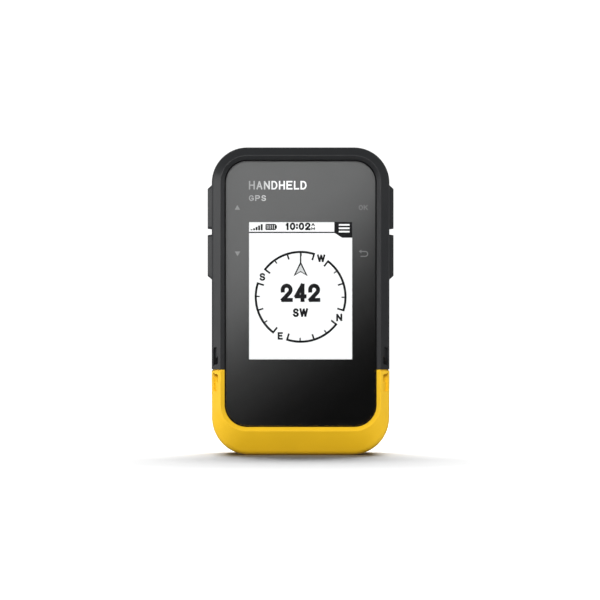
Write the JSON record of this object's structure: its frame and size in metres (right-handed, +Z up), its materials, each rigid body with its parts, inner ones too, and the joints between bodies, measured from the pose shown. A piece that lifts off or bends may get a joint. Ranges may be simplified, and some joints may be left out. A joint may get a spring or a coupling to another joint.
{
  "type": "handheld gps unit",
  "caption": "Upright handheld navigator: flat front lens, side keys, rubber lower bumper, rear battery cover with clip rail and latch ring, sealed port.",
  "frame": {"origin": "middle of the base, where the unit stands", "axes": "+Z up along the unit, -Y out of the display, +Y out of the back, +X to the right seen from the front"},
  "size_m": [0.0616, 0.033, 0.1016],
  "materials": {
    "dark_case": "fine texture",
    "yellow_bumper": "smooth satin elastomer",
    "lens": "gloss, black-backed outside the window",
    "adhesive": "matt foam tape",
    "foam": "matt foam",
    "display": "satin display surface",
    "light_guide": "white diffuser",
    "frame_plastic": "matt",
    "flex": "copper-orange polyimide film",
    "connector": "matt",
    "board": "green solder mask",
    "steel": "bright steel",
    "shield": "tin plate",
    "chips": "matt moulding compound",
    "ceramic": "fired ceramic",
    "silver": "silvered metal",
    "key_plastic": "satin",
    "plunger": "matt",
    "switch": "matt",
    "silicone": "matt silicone",
    "seal": "matt silicone",
    "dark_steel": "black finish",
    "cell_can": "printed sleeve over a metal can",
    "spring": "nickel plate",
    "contact": "nickel plate",
    "tongue": "matt"
  },
  "bodies": {
    "case": {"front_case": "dark_case", "rear_case": "dark_case", "lower_bumper": "yellow_bumper", "front_lens": "lens", "lens_adhesive": "adhesive", "display_gasket": "foam", "display_glass": "display", "backlight": "light_guide", "display_frame": "frame_plastic", "display_flex": "flex", "display_connector": "connector", "main_board": "board", "board_screws": "steel", "rf_shield": "shield", "cpu_shield": "shield", "board_components": "chips", "gps_antenna": "ceramic", "antenna_patch": "silver", "key_switches": "switch", "left_key_boot": "silicone", "right_key_boot": "silicone", "power_switch": "switch", "case_seal": "seal", "case_screws": "dark_steel", "aa_cell_left": "cell_can", "aa_cell_right": "cell_can", "battery_springs": "spring", "bridge_contact": "contact", "terminal_negative": "contact", "terminal_positive": "contact", "cover_catch": "steel", "catch_screws": "steel", "usb_shell": "shield", "usb_tongue": "tongue", "usb_seal": "seal", "usb_cap_strap": "silicone"},
    "key_up": {"key_up": "key_plastic", "plunger_up": "plunger"},
    "key_down": {"key_down": "key_plastic", "plunger_down": "plunger"},
    "key_ok": {"key_ok": "key_plastic", "plunger_ok": "plunger"},
    "key_back": {"key_back": "key_plastic", "plunger_back": "plunger"},
    "power_key": {"power_key": "key_plastic", "plunger_power": "plunger"},
    "battery_cover": {"battery_cover": "dark_case", "battery_seal": "seal"},
    "latch_hub": {"latch_hub": "steel", "latch_cam": "dark_steel", "latch_screw": "steel", "latch_o_ring": "silicone"},
    "d_ring": {"d_ring": "steel"},
    "usb_cap": {"usb_cap": "silicone"}
  },
  "joints": [
    {"name": "key_up_press", "type": "slide", "parent": "case", "child": "key_up", "axis": [1, 0, 0], "range_m": [0, 0.0005], "stiffness_N_per_m": 2000},
    {"name": "key_down_press", "type": "slide", "parent": "case", "child": "key_down", "axis": [1, 0, 0], "range_m": [0, 0.0005], "stiffness_N_per_m": 2000},
    {"name": "key_ok_press", "type": "slide", "parent": "case", "child": "key_ok", "axis": [-1, 0, 0], "range_m": [0, 0.0005], "stiffness_N_per_m": 2000},
    {"name": "key_back_press", "type": "slide", "parent": "case", "child": "key_back", "axis": [-1, 0, 0], "range_m": [0, 0.0005], "stiffness_N_per_m": 2000},
    {"name": "power_key_press", "type": "slide", "parent": "case", "child": "power_key", "axis": [0, 0, -1], "range_m": [0, 0.0005], "stiffness_N_per_m": 2000},
    {"name": "cover_lift", "type": "slide", "parent": "case", "child": "battery_cover", "axis": [0, 0.9439, -0.3304], "range_m": [0, 0.017], "deforming": ["cover_catch"]},
    {"name": "latch_turn", "type": "hinge", "parent": "battery_cover", "child": "latch_hub", "pos_m": [0, 0.01, 0.0178], "axis": [0, 1, 0], "range_deg": [0, 90]},
    {"name": "d_ring_swing", "type": "hinge", "parent": "latch_hub", "child": "d_ring", "pos_m": [0, 0.0129, 0.0178], "axis": [1, 0, 0], "range_deg": [0, 180]},
    {"name": "usb_cap_hinge", "type": "hinge", "parent": "case", "child": "usb_cap", "pos_m": [0, 0.00583, 0.09655], "axis": [1, 0, 0], "range_deg": [0, 110], "deforming": ["usb_cap_strap"]}
  ]
}
